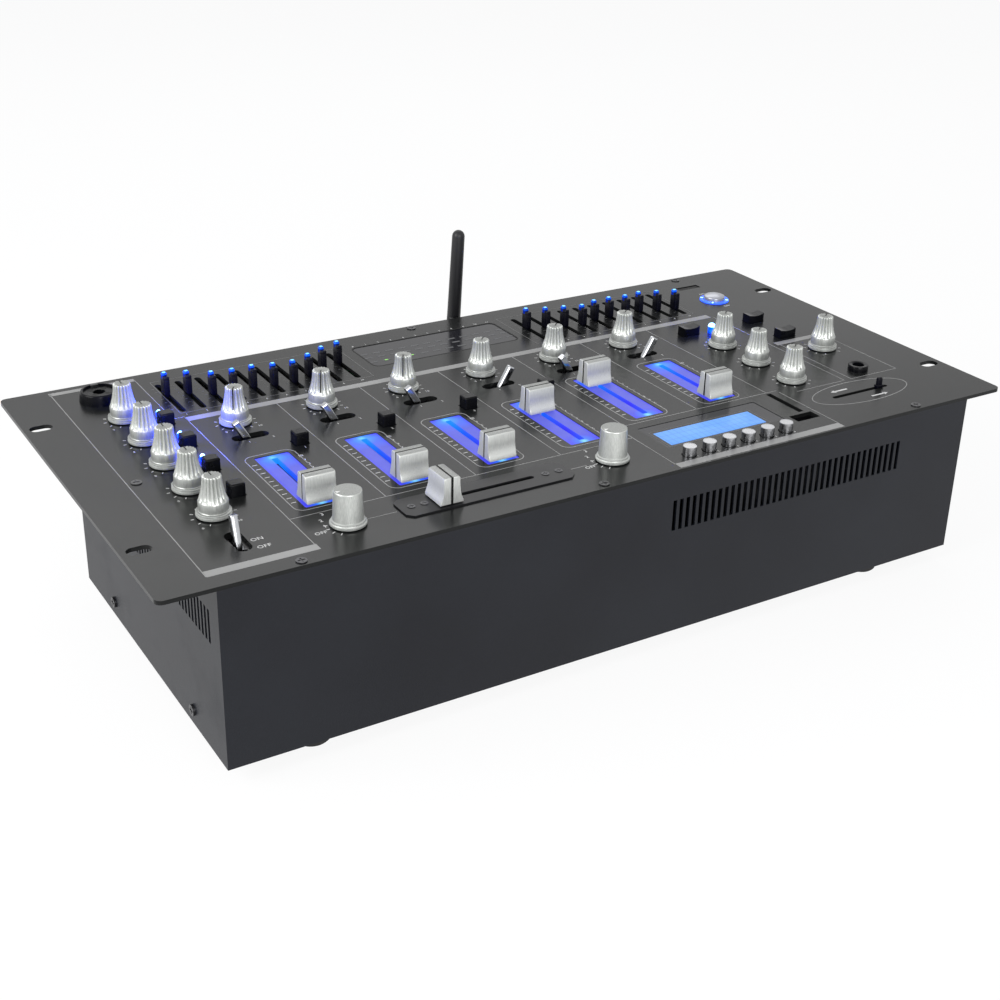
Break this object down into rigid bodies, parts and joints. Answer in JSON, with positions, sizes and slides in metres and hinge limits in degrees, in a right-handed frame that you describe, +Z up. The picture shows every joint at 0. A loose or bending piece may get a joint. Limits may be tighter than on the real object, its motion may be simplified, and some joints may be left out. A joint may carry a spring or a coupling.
{
  "type": "dj mixer",
  "caption": "Rack-width mixer with faders in lit windows, ribbed knobs, lever switches, two banks of equaliser sliders, a player display and a folding whip antenna.",
  "frame": {"origin": "middle of the four rack slots, on the top face of the panel", "axes": "+X to the user's right along the panel's length, +Y to the back, +Z up out of the panel"},
  "size_m": [0.4826, 0.2558, 0.1502],
  "materials": {
    "panel_paint": "satin",
    "case_paint": "fine powder texture",
    "rubber": "matte",
    "screw_steel": "dark",
    "board": "solder mask",
    "winding_tape": "wrapped",
    "pot_metal": "plated",
    "switch_plastic": "moulded",
    "lit_guide": "lit from below",
    "blue_led": "lit",
    "dark_window": "polished",
    "socket_plastic": "moulded",
    "plate_black": "satin",
    "knob_silver": "satin silver lacquer",
    "lever_chrome": "polished",
    "button_black": "moulded",
    "button_chrome": "polished",
    "power_dome": "satin",
    "antenna_black": "moulded"
  },
  "bodies": {
    "chassis": {"top_panel": "panel_paint", "case_shell": "case_paint", "base_plate": "case_paint", "rear_panel": "case_paint", "feet": "rubber", "screws": "screw_steel", "main_board": "board", "control_board": "board", "power_transformer": "winding_tape", "rotary_pots": "pot_metal", "slide_pots": "pot_metal", "switch_bodies": "switch_plastic", "light_guides": "lit_guide", "indicator_leds": "blue_led", "display_windows": "dark_window", "player_module": "socket_plastic", "panel_sockets": "socket_plastic", "rear_sockets": "socket_plastic", "crossfader_plate": "plate_black"},
    "mic_knob_1": {"mic_knob_1": "knob_silver"},
    "mic_knob_2": {"mic_knob_2": "knob_silver"},
    "mic_knob_3": {"mic_knob_3": "knob_silver"},
    "mic_knob_4": {"mic_knob_4": "knob_silver"},
    "mic_knob_5": {"mic_knob_5": "knob_silver"},
    "gain_knob_1": {"gain_knob_1": "knob_silver"},
    "gain_knob_2": {"gain_knob_2": "knob_silver"},
    "gain_knob_3": {"gain_knob_3": "knob_silver"},
    "gain_knob_4": {"gain_knob_4": "knob_silver"},
    "gain_knob_5": {"gain_knob_5": "knob_silver"},
    "gain_knob_6": {"gain_knob_6": "knob_silver"},
    "output_knob_1": {"output_knob_1": "knob_silver"},
    "output_knob_2": {"output_knob_2": "knob_silver"},
    "output_knob_3": {"output_knob_3": "knob_silver"},
    "output_knob_4": {"output_knob_4": "knob_silver"},
    "assign_knob_a": {"assign_knob_a": "knob_silver"},
    "assign_knob_b": {"assign_knob_b": "knob_silver"},
    "channel_fader_1": {"channel_fader_1": "knob_silver"},
    "channel_fader_2": {"channel_fader_2": "knob_silver"},
    "channel_fader_3": {"channel_fader_3": "knob_silver"},
    "channel_fader_4": {"channel_fader_4": "knob_silver"},
    "channel_fader_5": {"channel_fader_5": "knob_silver"},
    "channel_fader_6": {"channel_fader_6": "knob_silver"},
    "crossfader": {"crossfader": "knob_silver"},
    "input_toggle_1": {"input_toggle_1": "lever_chrome"},
    "input_toggle_2": {"input_toggle_2": "lever_chrome"},
    "input_toggle_3": {"input_toggle_3": "lever_chrome"},
    "input_toggle_4": {"input_toggle_4": "lever_chrome"},
    "input_toggle_5": {"input_toggle_5": "lever_chrome"},
    "input_toggle_6": {"input_toggle_6": "lever_chrome"},
    "talkover_toggle": {"talkover_toggle": "lever_chrome"},
    "monitor_slider": {"monitor_slider": "button_black"},
    "eq_sliders_left": {"eq_sliders_left": "button_black"},
    "eq_sliders_right": {"eq_sliders_right": "button_black"},
    "cue_buttons": {"cue_buttons": "button_black"},
    "mic_buttons": {"mic_buttons": "button_black"},
    "mode_buttons": {"mode_buttons": "button_black"},
    "player_buttons": {"player_buttons": "button_chrome"},
    "power_button": {"power_button": "power_dome"},
    "antenna_base": {"antenna_base": "antenna_black"},
    "antenna_whip": {"antenna_whip": "antenna_black"}
  },
  "joints": [
    {"name": "mic_knob_1_turn", "type": "hinge", "parent": "chassis", "child": "mic_knob_1", "pos_m": [-0.1925, -0.05725, 0], "axis": [0, 0, 1], "range_deg": [-150, 150]},
    {"name": "mic_knob_2_turn", "type": "hinge", "parent": "chassis", "child": "mic_knob_2", "pos_m": [-0.1925, -0.02685, 0], "axis": [0, 0, 1], "range_deg": [-150, 150]},
    {"name": "mic_knob_3_turn", "type": "hinge", "parent": "chassis", "child": "mic_knob_3", "pos_m": [-0.1925, 0.00355, 0], "axis": [0, 0, 1], "range_deg": [-150, 150]},
    {"name": "mic_knob_4_turn", "type": "hinge", "parent": "chassis", "child": "mic_knob_4", "pos_m": [-0.1925, 0.03395, 0], "axis": [0, 0, 1], "range_deg": [-150, 150]},
    {"name": "mic_knob_5_turn", "type": "hinge", "parent": "chassis", "child": "mic_knob_5", "pos_m": [-0.1925, 0.06435, 0], "axis": [0, 0, 1], "range_deg": [-150, 150]},
    {"name": "gain_knob_1_turn", "type": "hinge", "parent": "chassis", "child": "gain_knob_1", "pos_m": [-0.1448, 0.03435, 0], "axis": [0, 0, 1], "range_deg": [-300, 0]},
    {"name": "gain_knob_2_turn", "type": "hinge", "parent": "chassis", "child": "gain_knob_2", "pos_m": [-0.0968, 0.03435, 0], "axis": [0, 0, 1], "range_deg": [-300, 0]},
    {"name": "gain_knob_3_turn", "type": "hinge", "parent": "chassis", "child": "gain_knob_3", "pos_m": [-0.0488, 0.03435, 0], "axis": [0, 0, 1], "range_deg": [-300, 0]},
    {"name": "gain_knob_4_turn", "type": "hinge", "parent": "chassis", "child": "gain_knob_4", "pos_m": [-0.0008, 0.03435, 0], "axis": [0, 0, 1], "range_deg": [-100, 200]},
    {"name": "gain_knob_5_turn", "type": "hinge", "parent": "chassis", "child": "gain_knob_5", "pos_m": [0.0472, 0.03435, 0], "axis": [0, 0, 1], "range_deg": [-100, 200]},
    {"name": "gain_knob_6_turn", "type": "hinge", "parent": "chassis", "child": "gain_knob_6", "pos_m": [0.0952, 0.03435, 0], "axis": [0, 0, 1], "range_deg": [-100, 200]},
    {"name": "output_knob_1_turn", "type": "hinge", "parent": "chassis", "child": "output_knob_1", "pos_m": [0.1458, -0.05525, 0], "axis": [0, 0, 1], "range_deg": [-100, 200]},
    {"name": "output_knob_2_turn", "type": "hinge", "parent": "chassis", "child": "output_knob_2", "pos_m": [0.1458, -0.02485, 0], "axis": [0, 0, 1], "range_deg": [-100, 200]},
    {"name": "output_knob_3_turn", "type": "hinge", "parent": "chassis", "child": "output_knob_3", "pos_m": [0.1458, 0.00555, 0], "axis": [0, 0, 1], "range_deg": [-100, 200]},
    {"name": "output_knob_4_turn", "type": "hinge", "parent": "chassis", "child": "output_knob_4", "pos_m": [0.1953, -0.02485, 0], "axis": [0, 0, 1], "range_deg": [-100, 200]},
    {"name": "assign_knob_a_turn", "type": "hinge", "parent": "chassis", "child": "assign_knob_a", "pos_m": [-0.1439, -0.09385, 0], "axis": [0, 0, 1], "range_deg": [-90, 0]},
    {"name": "assign_knob_b_turn", "type": "hinge", "parent": "chassis", "child": "assign_knob_b", "pos_m": [-0.0014, -0.09385, 0], "axis": [0, 0, 1], "range_deg": [-90, 0]},
    {"name": "channel_fader_1_slide", "type": "slide", "parent": "chassis", "child": "channel_fader_1", "axis": [0, 1, 0], "range_m": [0, 0.045]},
    {"name": "channel_fader_2_slide", "type": "slide", "parent": "chassis", "child": "channel_fader_2", "axis": [0, 1, 0], "range_m": [0, 0.045]},
    {"name": "channel_fader_3_slide", "type": "slide", "parent": "chassis", "child": "channel_fader_3", "axis": [0, 1, 0], "range_m": [0, 0.045]},
    {"name": "channel_fader_4_slide", "type": "slide", "parent": "chassis", "child": "channel_fader_4", "axis": [0, 1, 0], "range_m": [-0.03938, 0.00562]},
    {"name": "channel_fader_5_slide", "type": "slide", "parent": "chassis", "child": "channel_fader_5", "axis": [0, 1, 0], "range_m": [-0.045, 0]},
    {"name": "channel_fader_6_slide", "type": "slide", "parent": "chassis", "child": "channel_fader_6", "axis": [0, 1, 0], "range_m": [0, 0.045]},
    {"name": "crossfader_slide", "type": "slide", "parent": "chassis", "child": "crossfader", "axis": [1, 0, 0], "range_m": [0, 0.045]},
    {"name": "input_toggle_1_throw", "type": "hinge", "parent": "chassis", "child": "input_toggle_1", "pos_m": [-0.1448, 0.01515, -0.0044], "axis": [0, 1, 0], "range_deg": [0, 60]},
    {"name": "input_toggle_2_throw", "type": "hinge", "parent": "chassis", "child": "input_toggle_2", "pos_m": [-0.0968, 0.01515, -0.0044], "axis": [0, 1, 0], "range_deg": [0, 60]},
    {"name": "input_toggle_3_throw", "type": "hinge", "parent": "chassis", "child": "input_toggle_3", "pos_m": [-0.0488, 0.01515, -0.0044], "axis": [0, 1, 0], "range_deg": [0, 60]},
    {"name": "input_toggle_4_throw", "type": "hinge", "parent": "chassis", "child": "input_toggle_4", "pos_m": [-0.0008, 0.01515, -0.0044], "axis": [0, 1, 0], "range_deg": [-60, 0]},
    {"name": "input_toggle_5_throw", "type": "hinge", "parent": "chassis", "child": "input_toggle_5", "pos_m": [0.0472, 0.01515, -0.0044], "axis": [0, 1, 0], "range_deg": [0, 60]},
    {"name": "input_toggle_6_throw", "type": "hinge", "parent": "chassis", "child": "input_toggle_6", "pos_m": [0.0952, 0.01515, -0.0044], "axis": [0, 1, 0], "range_deg": [-60, 0]},
    {"name": "talkover_throw", "type": "hinge", "parent": "chassis", "child": "talkover_toggle", "pos_m": [-0.1928, -0.08595, -0.0044], "axis": [1, 0, 0], "range_deg": [0, 34]},
    {"name": "monitor_slide", "type": "slide", "parent": "chassis", "child": "monitor_slider", "axis": [1, 0, 0], "range_m": [-0.0296, 0.0024]},
    {"name": "eq_left_slide", "type": "slide", "parent": "chassis", "child": "eq_sliders_left", "axis": [0, 1, 0], "range_m": [-0.006, 0.009]},
    {"name": "eq_right_slide", "type": "slide", "parent": "chassis", "child": "eq_sliders_right", "axis": [0, 1, 0], "range_m": [-0.006, 0.011]},
    {"name": "cue_button_press", "type": "slide", "parent": "chassis", "child": "cue_buttons", "axis": [0, 0, 1], "range_m": [-0.0012, 0], "stiffness_N_per_m": 250},
    {"name": "mic_button_press", "type": "slide", "parent": "chassis", "child": "mic_buttons", "axis": [0, 0, 1], "range_m": [-0.0012, 0], "stiffness_N_per_m": 250},
    {"name": "mode_button_press", "type": "slide", "parent": "chassis", "child": "mode_buttons", "axis": [0, 0, 1], "range_m": [-0.0012, 0], "stiffness_N_per_m": 250},
    {"name": "player_button_press", "type": "slide", "parent": "chassis", "child": "player_buttons", "axis": [0, 0, 1], "range_m": [-0.0012, 0], "stiffness_N_per_m": 250},
    {"name": "power_button_press", "type": "slide", "parent": "chassis", "child": "power_button", "axis": [0, 0, 1], "range_m": [-0.0012, 0], "stiffness_N_per_m": 250},
    {"name": "antenna_swivel", "type": "hinge", "parent": "chassis", "child": "antenna_base", "pos_m": [0.0373, 0.11815, -0.014], "axis": [0, 1, 0], "range_deg": [-170, 170]},
    {"name": "antenna_fold", "type": "hinge", "parent": "antenna_base", "child": "antenna_whip", "pos_m": [0.0373, 0.13265, -0.014], "axis": [-0.9985, 0, 0.0541], "range_deg": [0, 90]}
  ]
}
